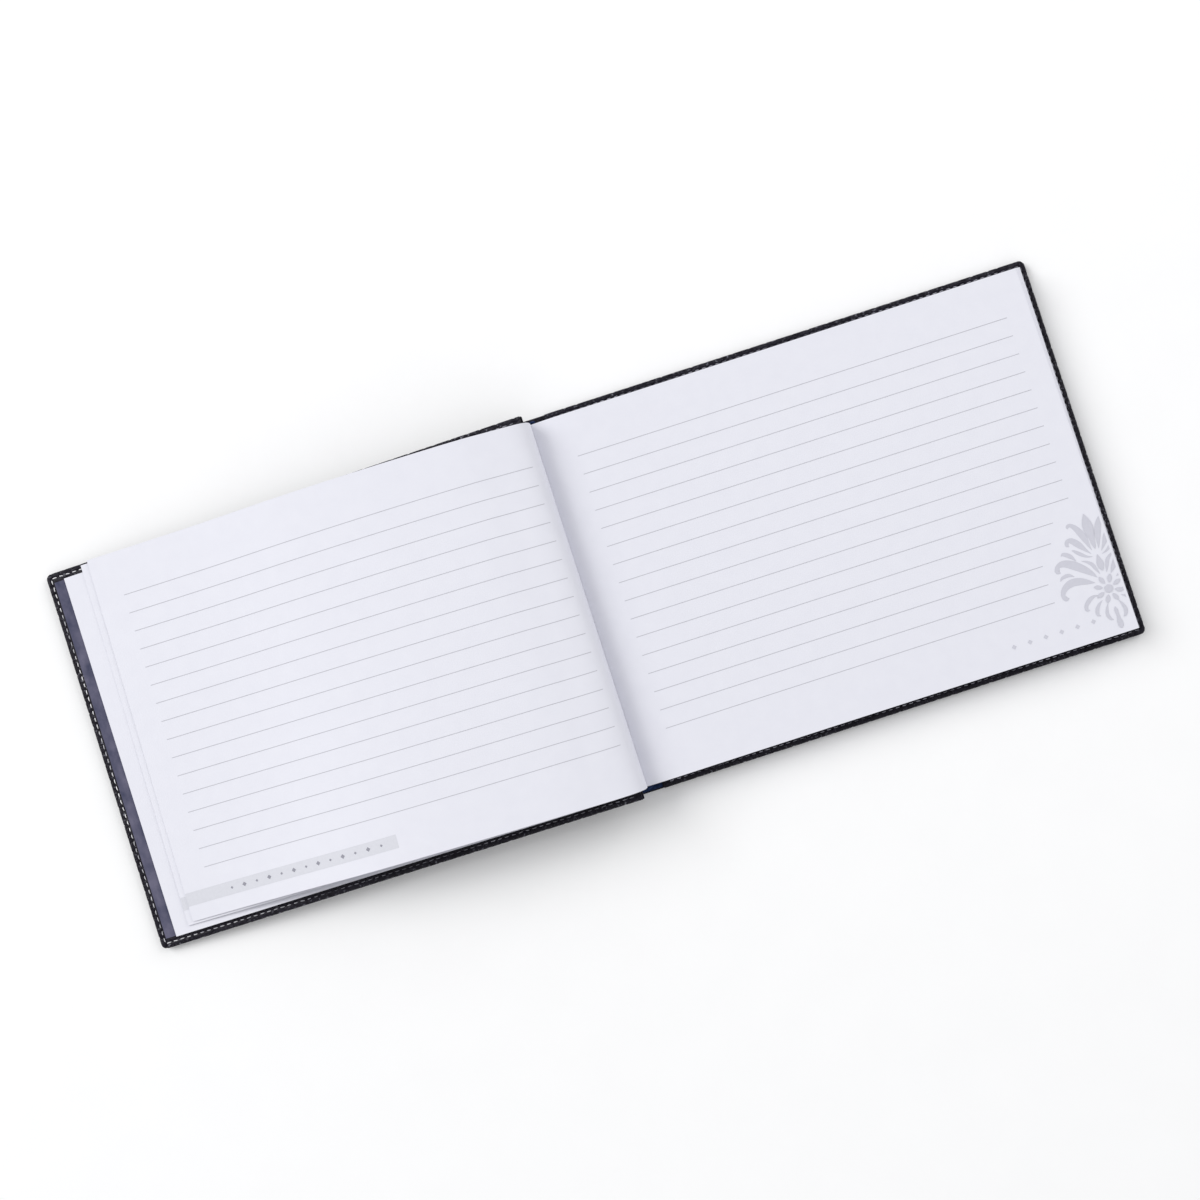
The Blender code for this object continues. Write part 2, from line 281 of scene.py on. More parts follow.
def inset(spots, inwards, depth, width, half, radius):
    """The outline moved inwards: arcs shrink to their centres, then all stays in the smaller rectangle."""
    arc = (np.abs(inwards).min(axis=1) > 1e-9)[:, None]
    moved = np.where(arc, np.minimum(depth, radius), depth)
    flat = spots[:, None, :] + inwards[:, None, :] * moved[..., None]
    flat[..., 0] = np.minimum(flat[..., 0], width - np.maximum(depth, 0))
    room = half - np.maximum(depth, 0)
    flat[..., 1] = np.clip(flat[..., 1], -room, room)
    return flat


def embossed_dips(walked, seed):
    """Depth of the cross grooves along an edge: narrow dips at uneven places 4 to 9 mm apart."""
    random = np.random.default_rng(seed)
    places = np.cumsum(random.uniform(4.0, 9.0, 200)) * MM
    places = places[places < walked[-1] - 2 * MM]
    widths = random.uniform(0.30, 0.55, len(places)) * MM
    depths = random.uniform(0.10, 0.26, len(places)) * MM
    dips = depths * np.exp(-((walked[:, None] - places) / widths) ** 2)
    return dips.sum(axis=1)


def cover_skin(side, finish, seed):
    """Leather of one cover: an edge profile (inward, up) carried round the outline, capped inside and out.

    The profile runs in from the hidden turn-in, dips along the seam, rolls over the edge with a small
    radius and goes on under the cover.  Cross grooves press it in by embossed_dips.
    """
    radius, thick = EDGE_ROUNDING, COVER_THICKNESS
    over = np.radians(np.linspace(90, 180, ARC_STEPS))
    under = np.radians(np.linspace(180, 270, ARC_STEPS))
    inner = np.array([15.0, 8.0, 5.0, 3.9, 3.3, 2.9, 2.6, 2.4, 2.2, 1.95, 1.7, 1.4]) * MM
    seam_pull = SEAM_PULL * np.exp(-((inner - SEAM_INSET) / SEAM_PULL_REACH) ** 2)
    outer = np.array([2.0, 4.0, 9.0, 20.0]) * MM
    profile_in = np.concatenate([inner, radius + radius * np.cos(over), radius + radius * np.cos(under),
                                 outer])
    profile_up = np.concatenate([thick - seam_pull, thick - radius + radius * np.sin(over),
                                 radius + radius * np.sin(under), np.zeros_like(outer)])
    press_in = np.concatenate([np.zeros_like(inner), -np.cos(over), -np.cos(under), np.zeros_like(outer)])
    press_up = np.concatenate([-np.ones_like(inner), -np.sin(over), -np.sin(under), np.ones_like(outer)])
    press_up[0] = press_up[-1] = 0.0

    spots, inwards, walked = outline_walk(cover_width, cover_half, COVER_CORNER, OUTLINE_STEP)
    dips = embossed_dips(walked, seed)[:, None]
    depth = profile_in[None, :] + dips * press_in[None, :]
    up = profile_up[None, :] + dips * press_up[None, :]
    flat = inset(spots, inwards, depth, cover_width, cover_half, COVER_CORNER)
    points = on_cover(side, np.maximum(flat[..., 0], joint_gap), flat[..., 1], up)
    rows, columns = depth.shape
    faces = list(strip_faces(rows, columns, closed_rows=True))
    faces.append(np.arange(rows) * columns)
    faces.append(np.arange(rows) * columns + columns - 1)
    skin = new_piece(f"{side}_cover_skin", points, faces, finish, sharp=60.0)
    # Nearness to the rolled edge, stored on the points: it lightens the worn edge and sets where the painted
    # glints on the leather are strongest.
    wear_and_glint = np.clip(1.0 - np.abs(profile_in - radius * 0.4) / WEAR_REACH, 0.0, 1.0)
    worn = skin.data.attributes.new("edge_wear_and_glint", "FLOAT", "POINT")
    spread = np.tile(wear_and_glint, rows).astype(np.float32)
    worn.data.foreach_set("value", spread[:len(worn.data)])
    return skin


def black_leather():
    """Crocodile-embossed black leather: scales between sunk grooves, fine pores, and pale flecks.

    Worn edges are lighter. The pale flecks are painted highlights, glints off the scales put into the base
    colour: full strength at the edges and a quarter of it on the faces.
    """
    made, nodes, links, shader = surface("black_leather", (0.006, 0.006, 0.009), 0.4)
    scales = nodes.new("ShaderNodeTexVoronoi")
    scales.feature = "DISTANCE_TO_EDGE"
    scales.inputs["Scale"].default_value = 1.0
    scales.inputs["Randomness"].default_value = 0.75
    links.new(stretched_place(nodes, links, (135.0, 190.0, 190.0)), scales.inputs["Vector"])
    plateau = nodes.new("ShaderNodeMapRange")
    plateau.interpolation_type = "SMOOTHSTEP"
    plateau.inputs["From Max"].default_value = 0.11
    links.new(scales.outputs["Distance"], plateau.inputs["Value"])
    pores = noise(nodes, links, (1900.0, 1900.0, 1900.0), 4.0)
    creases = noise(nodes, links, (420.0, 420.0, 420.0), 3.0)
    deep = raised(nodes, links, plateau.outputs["Result"], 0.00030, 0.9)
    fine = raised(nodes, links, creases, 0.00022, 0.8, under=deep)
    links.new(raised(nodes, links, pores, 0.00007, 0.8, under=fine), shader.inputs["Normal"])

    body = blended_colour(nodes, links, creases, (0.004, 0.003, 0.007), (0.012, 0.010, 0.018))
    # Painted highlights: pale flecks in the base colour stand for glints off the scales, strongest on the
    # edges and a quarter as strong on the faces.
    painted_glint_noise = noise(nodes, links, (850.0, 850.0, 850.0), 2.0)
    painted_glint_spots = blended_colour(nodes, links, painted_glint_noise, (0.0, 0.0, 0.0), (1.0, 1.0, 1.0), 0.58, 0.70)
    painted_glint_areas = mapped_value(nodes, links, noise(nodes, links, (60.0, 60.0, 60.0), 1.0), -0.9, 2.2)
    edge = nodes.new("ShaderNodeAttribute")
    edge.attribute_name = "edge_wear_and_glint"
    rubbed = nodes.new("ShaderNodeMath")
    rubbed.operation = "MULTIPLY"
    links.new(edge.outputs["Fac"], rubbed.inputs[0])
    links.new(mapped_value(nodes, links, creases, -0.6, 1.1), rubbed.inputs[1])
    worn = nodes.new("ShaderNodeMix")
    worn.data_type = "RGBA"
    worn.clamp_factor = True
    worn.inputs["B"].default_value = (0.030, 0.029, 0.036, 1.0)
    links.new(rubbed.outputs["Value"], worn.inputs["Factor"])
    links.new(body, worn.inputs["A"])
    flecks = nodes.new("ShaderNodeMath")
    flecks.operation = "MULTIPLY"
    flecks.use_clamp = True
    links.new(painted_glint_spots, flecks.inputs[0])
    links.new(painted_glint_areas, flecks.inputs[1])
    painted_glint_strength = nodes.new("ShaderNodeMath")
    painted_glint_strength.operation = "MULTIPLY"
    links.new(flecks.outputs["Value"], painted_glint_strength.inputs[0])
    links.new(mapped_value(nodes, links, edge.outputs["Fac"], 0.25, 1.0), painted_glint_strength.inputs[1])
    leather_with_painted_glints = nodes.new("ShaderNodeMix")
    leather_with_painted_glints.data_type = "RGBA"
    leather_with_painted_glints.inputs["B"].default_value = (0.24, 0.24, 0.28, 1.0)
    links.new(painted_glint_strength.outputs["Value"], leather_with_painted_glints.inputs["Factor"])
    links.new(worn.outputs["Result"], leather_with_painted_glints.inputs["A"])
    links.new(leather_with_painted_glints.outputs["Result"], shader.inputs["Base Color"])
    links.new(mapped_value(nodes, links, creases, 0.30, 0.55), shader.inputs["Roughness"])
    shader.inputs["Specular IOR Level"].default_value = 0.16
    return made


hide = black_leather()
for side, seed in ((BACK, 5), (FRONT, 9)):
    skin = cover_skin(side, hide, seed)
    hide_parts(f"{side}_cover_leather")
    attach(skin, f"{side}_cover")


# ---------------------------------------------------------------------------------------------------
# Edge seam.  Waxed white thread, sewn through both turns of the leather along the three outer edges.
# Each stitch is a short plump length of thread whose ends dive into the leather.

STITCH_PITCH = 3.25 * MM
STITCH_LENGTH = 2.05 * MM
STITCH_RADIUS = 0.21 * MM
STITCH_STATIONS = 7
STITCH_SIDES = 6
SEAM_START = 3.0 * MM
BRIGHT_THREAD_UP_TO = -205 * MM
DARK_THREAD_FROM = -160 * MM


def seam_places(inset, pitch):
    """Middle and direction of every stitch along the head, fore-edge and tail of a cover."""
    near, far = SEAM_START, cover_width - inset
    half = cover_half - inset
    places, ways = [], []
    runs = [((near, -half), (far, -half)), ((far, -half), (far, half)), ((far, half), (near, half))]
    for start, stop in runs:
        start, stop = np.array(start), np.array(stop)
        length = np.linalg.norm(stop - start)
        count = int(round(length / pitch))
        share = (np.arange(count) + 0.5) / count
        places.append(start + (stop - start) * share[:, None])
        ways.append(np.tile((stop - start) / length, (count, 1)))
    return np.concatenate(places), np.concatenate(ways)


def cover_stitches(side, finish, seed):
    """All stitches of one cover: each is a ring of six carried along a low arch, tapering at both ends."""
    random = np.random.default_rng(seed)
    places, ways = seam_places(SEAM_INSET, STITCH_PITCH)
    count = len(places)
    swing = random.normal(0.0, 0.06, count)
    ways = np.stack([ways[:, 0] * np.cos(swing) - ways[:, 1] * np.sin(swing),
                     ways[:, 0] * np.sin(swing) + ways[:, 1] * np.cos(swing)], axis=1)
    lengths = STITCH_LENGTH * random.uniform(0.88, 1.08, count)
    along = np.linspace(-1, 1, STITCH_STATIONS)
    arch = 0.26 * MM * (1 - along ** 2) - 0.14 * MM
    girth = STITCH_RADIUS * np.sqrt(np.clip(1.02 - along ** 4, 0.03, 1.0))
    angle = np.radians(np.arange(STITCH_SIDES) * 360.0 / STITCH_SIDES)
    sideways = np.stack([-ways[:, 1], ways[:, 0]], axis=1)
    centre = places[:, None, :] + ways[:, None, :] * (along[None, :, None] * lengths[:, None, None] / 2)
    ring_side = girth[:, None] * np.cos(angle)[None, :]
    ring_up = girth[:, None] * np.sin(angle)[None, :] + arch[:, None]
    flat = centre[:, :, None, :] + sideways[:, None, None, :] * ring_side[None, :, :, None]
    up = np.broadcast_to(COVER_THICKNESS + ring_up[None], flat.shape[:3])
    points = on_cover(side, flat[..., 0], flat[..., 1], up)
    one = strip_faces(STITCH_STATIONS, STITCH_SIDES, closed_columns=True)
    per = STITCH_STATIONS * STITCH_SIDES
    base = np.arange(count)[:, None, None] * per
    faces = list((one[None] + base).reshape(-1, 4))
    ends = np.arange(STITCH_SIDES)
    last_ring = per - STITCH_SIDES
    faces += list(ends[None] + base[:, 0]) + list(ends[None] + base[:, 0] + last_ring)
    return new_piece(f"{side}_stitches", points, faces, finish)


def white_thread():
    """Twisted waxed thread: bright at the front cover's fore-edge, darker everywhere else, patchy
    throughout.
    """
    made, nodes, links, shader = surface("white_thread", (0.80, 0.80, 0.83), 0.55)
    plies = nodes.new("ShaderNodeTexWave")
    plies.bands_direction = "DIAGONAL"
    plies.inputs["Scale"].default_value = 1.0
    plies.inputs["Distortion"].default_value = 0.8
    links.new(stretched_place(nodes, links, (900.0, 900.0, 300.0)), plies.inputs["Vector"])
    links.new(raised(nodes, links, plies.outputs["Fac"], 0.00008, 0.8), shader.inputs["Normal"])
    grime = noise(nodes, links, (45.0, 45.0, 45.0), 5.0)
    bright_thread = blended_colour(nodes, links, grime, (0.42, 0.42, 0.46), (0.95, 0.95, 0.97), 0.36, 0.56)
    dull = blended_colour(nodes, links, grime, (0.06, 0.06, 0.075), (0.42, 0.42, 0.47), 0.38, 0.66)
    # The thread is darker away from the front cover's fore-edge: its tone is set by its x position alone.
    split = nodes.new("ShaderNodeSeparateXYZ")
    links.new(stretched_place(nodes, links, (1.0, 1.0, 1.0)), split.inputs["Vector"])
    inwards = nodes.new("ShaderNodeMapRange")
    inwards.inputs["From Min"].default_value = BRIGHT_THREAD_UP_TO
    inwards.inputs["From Max"].default_value = DARK_THREAD_FROM
    links.new(split.outputs["X"], inwards.inputs["Value"])
    thread_by_place = nodes.new("ShaderNodeMix")
    thread_by_place.data_type = "RGBA"
    links.new(inwards.outputs["Result"], thread_by_place.inputs["Factor"])
    links.new(bright_thread, thread_by_place.inputs["A"])
    links.new(dull, thread_by_place.inputs["B"])
    links.new(thread_by_place.outputs["Result"], shader.inputs["Base Color"])
    return made


thread = white_thread()
for side, seed in ((BACK, 3), (FRONT, 4)):
    stitches = cover_stitches(side, thread, seed)
    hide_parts(f"{side}_cover_stitching")
    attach(stitches, f"{side}_cover")


# ---------------------------------------------------------------------------------------------------
# Case joints.  The same leather runs on from cover to cover across the spine, shaped round both joints.
# Its lower half runs from the back cover up the spine, its upper half from the spine on to the front cover.

def on_spine(up, inward):
    """A point at a height up the spine strip and a distance inward from its joint line, as (x, z)."""
    lean = spine_lean
    return (back_axis[0] - up * math.sin(lean) + inward * math.cos(lean),
            back_axis[2] + up * math.cos(lean) + inward * math.sin(lean))


def under_front(out, up):
    """A point out along the front cover and up from its outer face, as (x, z)."""
    spot = front_corner + out * front_out + up * front_up
    return (spot[0], spot[2])


def curve_through(points, steps):
    """Catmull-Rom curve through points, sampled with the given steps per span, as an array."""
    points = np.asarray(points, float)
    ends = np.vstack([2 * points[0] - points[1], points, 2 * points[-1] - points[-2]])
    share = np.linspace(0, 1, steps, endpoint=False)[None, :, None]
    a, b, c, d = (ends[k:len(ends) - 3 + k, None, :] for k in range(4))
    path = 0.5 * (2 * b + (c - a) * share + (2 * a - 5 * b + 4 * c - d) * share ** 2
                  + (3 * b - a - 3 * c + d) * share ** 3)
    return np.vstack([path.reshape(-1, points.shape[1]), points[-1:]])


def bent_strip(name, path, half_height, thickness, rows, finish, dips=0.0, seed=0, head_short=0.0):
    """A sheet of even thickness that follows an (x, z) path and spans Y, with rounded long edges."""
    tangent = np.gradient(path, axis=0)
    tangent /= np.linalg.norm(tangent, axis=1)[:, None]
    normal = np.stack([-tangent[:, 1], tangent[:, 0]], axis=1)
    ease = np.array([0.0, 0.15, 0.5, 1.2]) * MM
    plain = half_height - 2 * MM
    across = np.concatenate([-half_height + ease, np.linspace(-plain, plain, rows),
                             half_height - ease[::-1]])
    edge = half_height - np.abs(across)
    full = np.sqrt(np.clip(1 - (1 - np.clip(edge / (0.6 * MM), 0, 1)) ** 2, 0.05, 1))
    press = 0.0
    if dips:
        walked = across - across[0]
        press = dips / (0.26 * MM) * embossed_dips(walked, seed)
    half = thickness / 2 * full
    across = -half_height + (across + half_height) * (1 - head_short / (2 * half_height))
    grids = []
    for sign in (1, -1):
        offset = sign * (half - press)
        x = path[:, None, 0] + normal[:, None, 0] * offset[None, :]
        z = path[:, None, 1] + normal[:, None, 1] * offset[None, :]
        grids.append(np.stack([x, np.broadcast_to(across, x.shape), z], axis=-1))
    points, faces = closed_slab(*grids)
    return new_piece(name, points, faces, finish, sharp=60.0)


def closed_slab(top, bottom):
    """Points and quads of the closed solid between two matching grids of points."""
    rows, columns = top.shape[:2]
    under = rows * columns
    face = strip_faces(rows, columns)
    i = np.arange(rows - 1)
    j = np.arange(columns - 1)
    low_side = np.stack([(i + 1) * columns, i * columns, under + i * columns, under + (i + 1) * columns], 1)
    far = columns - 1
    high_side = np.stack([i * columns + far, (i + 1) * columns + far, under + (i + 1) * columns + far,
                          under + i * columns + far], 1)
    first = np.stack([j, j + 1, under + j + 1, under + j], 1)
    end = (rows - 1) * columns
    last = np.stack([end + j + 1, end + j, under + end + j, under + end + j + 1], 1)
    faces = np.concatenate([face, under + face[:, ::-1], low_side, high_side, first, last])
    points = np.concatenate([top.reshape(-1, 3), bottom.reshape(-1, 3)])
    return points, faces


STRIP_LEATHER = 0.8 * MM
STRIP_ROWS = 210
STRIP_DIPS = 0.16 * MM
lower_path = curve_through([
    (back_edge + 1.4 * MM, 0.45 * MM), (back_edge - 3.0 * MM, 0.42 * MM), (-2.6 * MM, 0.46 * MM),
    (-4.6 * MM, 0.75 * MM), on_spine(2.8 * MM, -2.2 * MM), on_spine(6 * MM, -2.25 * MM),
    on_spine(9 * MM, -2.25 * MM)], 7)
upper_path = curve_through([
    on_spine(9.02 * MM, -2.25 * MM), on_spine(13 * MM, -2.25 * MM), on_spine(15.9 * MM, -2.1 * MM),
    on_spine(17.0 * MM, -1.2 * MM), on_spine(17.2 * MM, 0.8 * MM), on_spine(17.1 * MM, 3.6 * MM),
    on_spine(17.1 * MM, 5.8 * MM), on_spine(17.5 * MM, 7.0 * MM), under_front(0.0, 0.35 * MM),
    under_front(1.8 * MM, 0.45 * MM)], 7)


lower_leather = bent_strip("case_leather_lower", lower_path, cover_half, STRIP_LEATHER, STRIP_ROWS, hide,
                           STRIP_DIPS, seed=21)
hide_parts("back_joint_leather")
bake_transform(lower_leather)
upper_leather = bent_strip("case_leather_upper", upper_path, cover_half, STRIP_LEATHER, STRIP_ROWS, hide,
                           STRIP_DIPS, seed=22)
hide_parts("spine_leather", "front_joint_leather")
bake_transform(upper_leather)


# ---------------------------------------------------------------------------------------------------
# Spine cloth.  A strip of navy book cloth glued inside the case, over the spine board and both joints.
# It shows as a dark blue patch at the head and tail, where the leaves stop short of the leather. That patch
# lies in shade, and the cloth's navy is darkened with painted shade to match it.

def navy_cloth_painted_shade():
    """Plain-woven navy cotton, darkened by painted shade: fine threads both ways and a dull sheen."""
    made, nodes, links, shader = surface("navy_cloth_painted_shade", (0.008, 0.022, 0.075), 0.8)
    threads = []
    for direction in ("Y", "Z"):
        wave = nodes.new("ShaderNodeTexWave")
        wave.bands_direction = direction
        wave.inputs["Scale"].default_value = 1.0
        wave.inputs["Distortion"].default_value = 0.4
        links.new(stretched_place(nodes, links, (420.0, 420.0, 420.0)), wave.inputs["Vector"])
        threads.append(wave.outputs["Fac"])
    weave = nodes.new("ShaderNodeMath")
    weave.operation = "MULTIPLY"
    links.new(threads[0], weave.inputs[0])
    links.new(threads[1], weave.inputs[1])
    links.new(raised(nodes, links, weave.outputs["Value"], 0.00012, 0.7), shader.inputs["Normal"])
    # Painted shade: the navy tones are as dark as the cloth looks in the shade at the tail.
    tone = noise(nodes, links, (700.0, 700.0, 700.0))
    links.new(blended_colour(nodes, links, tone, (0.004, 0.013, 0.050), (0.014, 0.034, 0.105)),
              shader.inputs["Base Color"])
    shader.inputs["Specular IOR Level"].default_value = 0.2
    return made


navy = navy_cloth_painted_shade()
CLOTH = 0.25 * MM
CLOTH_ROWS = 12
CLOTH_HEAD_SHORT = 4.5 * MM
cloth_half = cover_half - 0.7 * MM
cloth_low = curve_through([
    (back_edge - 0.1 * MM, 1.05 * MM), (1.0 * MM, 1.0 * MM), (-2.2 * MM, 1.15 * MM),
    on_spine(2.6 * MM, -0.55 * MM), on_spine(6.0 * MM, -0.6 * MM), on_spine(9.0 * MM, -0.6 * MM)], 6)
cloth_high = curve_through([
    on_spine(9.02 * MM, -0.6 * MM), on_spine(12.0 * MM, -0.6 * MM), on_spine(15.2 * MM, -0.5 * MM),
    on_spine(16.35 * MM, 0.5 * MM), on_spine(16.45 * MM, 3.0 * MM), on_spine(16.45 * MM, 4.8 * MM)], 6)
lower_cloth = bent_strip("spine_cloth_lower", cloth_low, cloth_half, CLOTH, CLOTH_ROWS, navy,
                         head_short=CLOTH_HEAD_SHORT)
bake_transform(lower_cloth)
upper_cloth = bent_strip("spine_cloth_upper", cloth_high, cloth_half, CLOTH, CLOTH_ROWS, navy,
                         head_short=CLOTH_HEAD_SHORT)
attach(upper_cloth, "spine")


# ---------------------------------------------------------------------------------------------------
# Endpapers.  Matte slate-blue paper pasted on the inside of each cover, over the turned-in leather.
# The paste has left it slightly mottled and the board's texture shows through.

def slate_paper():
    """Matte slate-blue paper: soft mottling from the paste and a fine felt surface."""
    made, nodes, links, shader = surface("slate_paper", (0.088, 0.084, 0.140), 0.82)
    mottle = noise(nodes, links, (190.0, 130.0, 190.0), 6.0)
    links.new(blended_colour(nodes, links, mottle, (0.042, 0.046, 0.094), (0.128, 0.122, 0.186)),
              shader.inputs["Base Color"])
    felt = noise(nodes, links, (1500.0, 1500.0, 1500.0), 3.0)
    lumps = noise(nodes, links, (190.0, 190.0, 190.0), 2.0)
    under = raised(nodes, links, lumps, 0.00012, 0.6)
    links.new(raised(nodes, links, felt, 0.00004, 0.8, under=under), shader.inputs["Normal"])
    return made


dress(["front_pastedown", "back_pastedown"], slate_paper())


# ---------------------------------------------------------------------------------------------------
# Rear sections.  Folded sheets of white paper, sewn through their folds and trimmed together.
# Each section is a stack of leaves whose trimmed edges stand a few hundredths of a millimetre apart.

def white_paper(name="white_paper"):
    """Smooth uncoated paper: barely bluish white, cloudy when looked at closely, with a fine felt."""
    made, nodes, links, shader = surface(name, (0.78, 0.78, 0.85), 0.86)
    clouds = noise(nodes, links, (150.0, 150.0, 150.0), 4.0)
    links.new(blended_colour(nodes, links, clouds, (0.772, 0.774, 0.842), (0.788, 0.790, 0.856)),
              shader.inputs["Base Color"])
    felt = noise(nodes, links, (2400.0, 2400.0, 2400.0), 3.0)
    links.new(raised(nodes, links, felt, 0.000025, 0.7), shader.inputs["Normal"])
    return made


paper = white_paper()
LEAVES_IN_SECTION = 9
SECTION_SEED = 30
RING_STEPS_PER_SIDE = 30
TRIMMED_BEYOND = np.array([114.0, 84.7]) * MM


def leaf_stack(name, node, leaves, finish, seed):
    """A block of leaves: rings round a rectangle, four for each leaf, each leaf set in by its own amount."""
    low, high = (np.array(corner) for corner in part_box(node))
    random = np.random.default_rng(seed)
    corners = np.array([(low[0], low[1]), (high[0], low[1]), (high[0], high[1]), (low[0], high[1])])
    share = np.linspace(0, 1, RING_STEPS_PER_SIDE, endpoint=False)[:, None]
    ring = np.concatenate([corners[k] + (corners[(k + 1) % 4] - corners[k]) * share for k in range(4)])
    middle = corners.mean(axis=0)
    inward = np.sign(middle - ring)
    inward = np.where(np.abs(ring - middle) > TRIMMED_BEYOND, inward, 0.0)
    heights, insets = [], []
    leaf = (high[2] - low[2]) / leaves
    for number in range(leaves):
        inset = random.uniform(0.0, 0.22) * MM
        for part, extra in ((0.04, 0.05), (0.25, 0.0), (0.75, 0.0), (0.96, 0.05)):
            heights.append(low[2] + (number + part) * leaf)
            insets.append(inset + extra * MM)
    heights, insets = np.array(heights), np.array(insets)
    drift = random.normal(0.0, 0.02, (len(insets) // 4, len(ring))).repeat(4, axis=0) * MM
    shift = (insets[:, None] + np.abs(drift))[..., None] * inward[None]
    flat = ring[None] + shift
    up = np.broadcast_to(heights[:, None, None], (*flat.shape[:2], 1))
    points = np.concatenate([flat, up], axis=-1)
    rows, columns = len(heights), len(ring)
    faces = list(strip_faces(rows, columns, closed_columns=True))
    faces += [np.arange(columns), (rows - 1) * columns + np.arange(columns)]
    block = new_piece(name, points, faces, finish, sharp=25.0)
    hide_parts(node)
    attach(block, "back_cover")
    return block


for number in range(1, 7):
    leaf_stack(f"section_{number}_leaves", f"rear_section_{number}", LEAVES_IN_SECTION, paper,
               SECTION_SEED + number)
dress(["back_flyleaf"], paper)


# ---------------------------------------------------------------------------------------------------
# Sewing and bands.  Gauze is glued over the folds, thread links the sections near head and tail, and
# each end of the back carries a navy band worked in fine cord.

def cotton_gauze():
    """Open starched cotton gauze."""
    made, nodes, links, shader = surface("cotton_gauze", (0.72, 0.69, 0.60), 0.95)
    mesh_wave = nodes.new("ShaderNodeTexWave")
    mesh_wave.bands_direction = "Y"
    mesh_wave.inputs["Scale"].default_value = 1.0
    links.new(stretched_place(nodes, links, (200.0, 200.0, 200.0)), mesh_wave.inputs["Vector"])
    links.new(raised(nodes, links, mesh_wave.outputs["Fac"], 0.0001), shader.inputs["Normal"])
    links.new(blended_colour(nodes, links, mesh_wave.outputs["Fac"], (0.55, 0.52, 0.45), (0.80, 0.77, 0.68)),
              shader.inputs["Base Color"])
    return made


dress(["mull"], cotton_gauze())
dress(["kettle_stitch_head", "kettle_stitch_tail"], thread)


BAND_HALF_WIDTH = 1.5 * MM
BAND_HALF_DEPTH = 0.72 * MM
CORD_PITCH = 0.6 * MM


def end_band(end, finish):
    """A band over one end of the back: an oval carried up the stack and ribbed by its cord."""
    low, high = (np.array(corner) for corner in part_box(f"{end}_band"))
    middle = (low + high) / 2
    count = 60
    up = np.linspace(low[2], high[2] - 0.1 * MM, count)
    turn = np.radians(np.arange(0, 360, 18))
    rib = 1.0 + 0.07 * np.sin(2 * math.pi * (up - up[0]) / CORD_PITCH)
    taper = np.sqrt(np.clip(1 - np.abs(2 * (up - up.mean()) / (up[-1] - up[0])) ** 12, 0.1, 1))
    size = (rib * taper)[:, None]
    x = middle[0] - 0.2 * MM + BAND_HALF_WIDTH * size * np.cos(turn)[None]
    y = middle[1] + BAND_HALF_DEPTH * size * np.sin(turn)[None]
    points = np.stack([x, y, np.broadcast_to(up[:, None], x.shape)], axis=-1)
    faces = list(strip_faces(count, len(turn), closed_columns=True))
    faces += [np.arange(len(turn)), (count - 1) * len(turn) + np.arange(len(turn))]
    band = new_piece(f"{end}_band_cord", points, faces, finish)
    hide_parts(f"{end}_band")
    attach(band, "back_cover")


# The bands take the navy cloth finish, painted shade included.
for end in ("head", "tail"):
    end_band(end, navy)


# ---------------------------------------------------------------------------------------------------
# Loose rear leaves and the turning leaf.  Single leaves lie on the sections, each cut a little short of
# the one below, and swell softly where they leave the gutter.  The uppermost is the ruled right page.

LEAF = 0.13 * MM
PRINT_LIFT = 0.03 * MM
PRINT_LIMIT = 228.25 * MM
RULE_PITCH = 8.5 * MM
FIRST_RULE = 64.8 * MM
RULE_START = 15.5 * MM
RULE_STOP = 218.2 * MM


def rear_leaf_shape(node, swell, head_end):
    """place(s, t, up) for a rear leaf: it runs level from the gutter over a low swell, with faint waves.

    Its fore-edge stands at head_end at the head and at the CAD leaf's end at the foot.
    """
    low, high = (np.array(corner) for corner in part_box(node))
    level = (low[2] + high[2]) / 2
    width = high[0] - low[0]

    def place(s, t, up):
        s, t, up = np.broadcast_arrays(s, t, up)
        rise = swell * (s / (14 * MM)) * np.exp(1 - s / (14 * MM))
        wave = 0.05 * MM * np.sin(s / (31 * MM) + 0.8) * np.sin(t / (24 * MM))
        short = (high[0] - head_end) * (t - low[1]) / (high[1] - low[1])
        x = low[0] + s - short * np.clip(s / width, 0, 1)
        return np.stack([x, t, level + rise + wave + up], axis=-1)

    return place, width


def leaf_sheet(place, width, half_height, start=0.0, grid_step=1.05 * MM):
    """Closed sheet of paper between place(s, t, +half) and place(s, t, -half)."""
    count = int(width / grid_step) + 1
    s = np.linspace(start, width, count)[:, None]
    t = np.linspace(-half_height, half_height, 41)[None, :]
    return closed_slab(place(s, t, LEAF / 2), place(s, t, -LEAF / 2))


def ribbon(place, line, widths, layer=0):
    """Ink between the two sides of a line of (s, t) points, widths across, laid on a leaf.

    Each layer lies a few microns over the last, and rises a little along its length.
    """
    line = np.asarray(line, float)
    way = np.gradient(line, axis=0)
    way /= np.maximum(np.linalg.norm(way, axis=1), 1e-12)[:, None]
    aside = np.stack([-way[:, 1], way[:, 0]], axis=1) * (np.asarray(widths) / 2)[:, None]
    both = np.stack([line + aside, line - aside], axis=1)
    both[..., 0] = np.minimum(both[..., 0], PRINT_LIMIT)
    lift = PRINT_LIFT + 0.006 * MM * (layer + np.linspace(0, 1, len(line)))[:, None]
    points = place(both[..., 0], both[..., 1], LEAF / 2 + lift)
    faces = strip_faces(len(line), 2)
    corner = points.reshape(-1, 3)[faces[len(faces) // 2]]
    if np.cross(corner[1] - corner[0], corner[2] - corner[0])[2] < 0:
        faces = faces[:, ::-1]
    return points.reshape(-1, 3), faces


def ruled_lines(place, stops):
    """The rules of a page as thin ribbons, from the gutter margin to their own stops."""
    marks = []
    for number, stop in enumerate(stops):
        t = FIRST_RULE - number * RULE_PITCH
        s = np.linspace(RULE_START, stop, int((stop - RULE_START) / (1.0 * MM)))
        marks.append(ribbon(place, np.stack([s, np.full_like(s, t)], 1), np.full(len(s), 0.32 * MM)))
    return marks


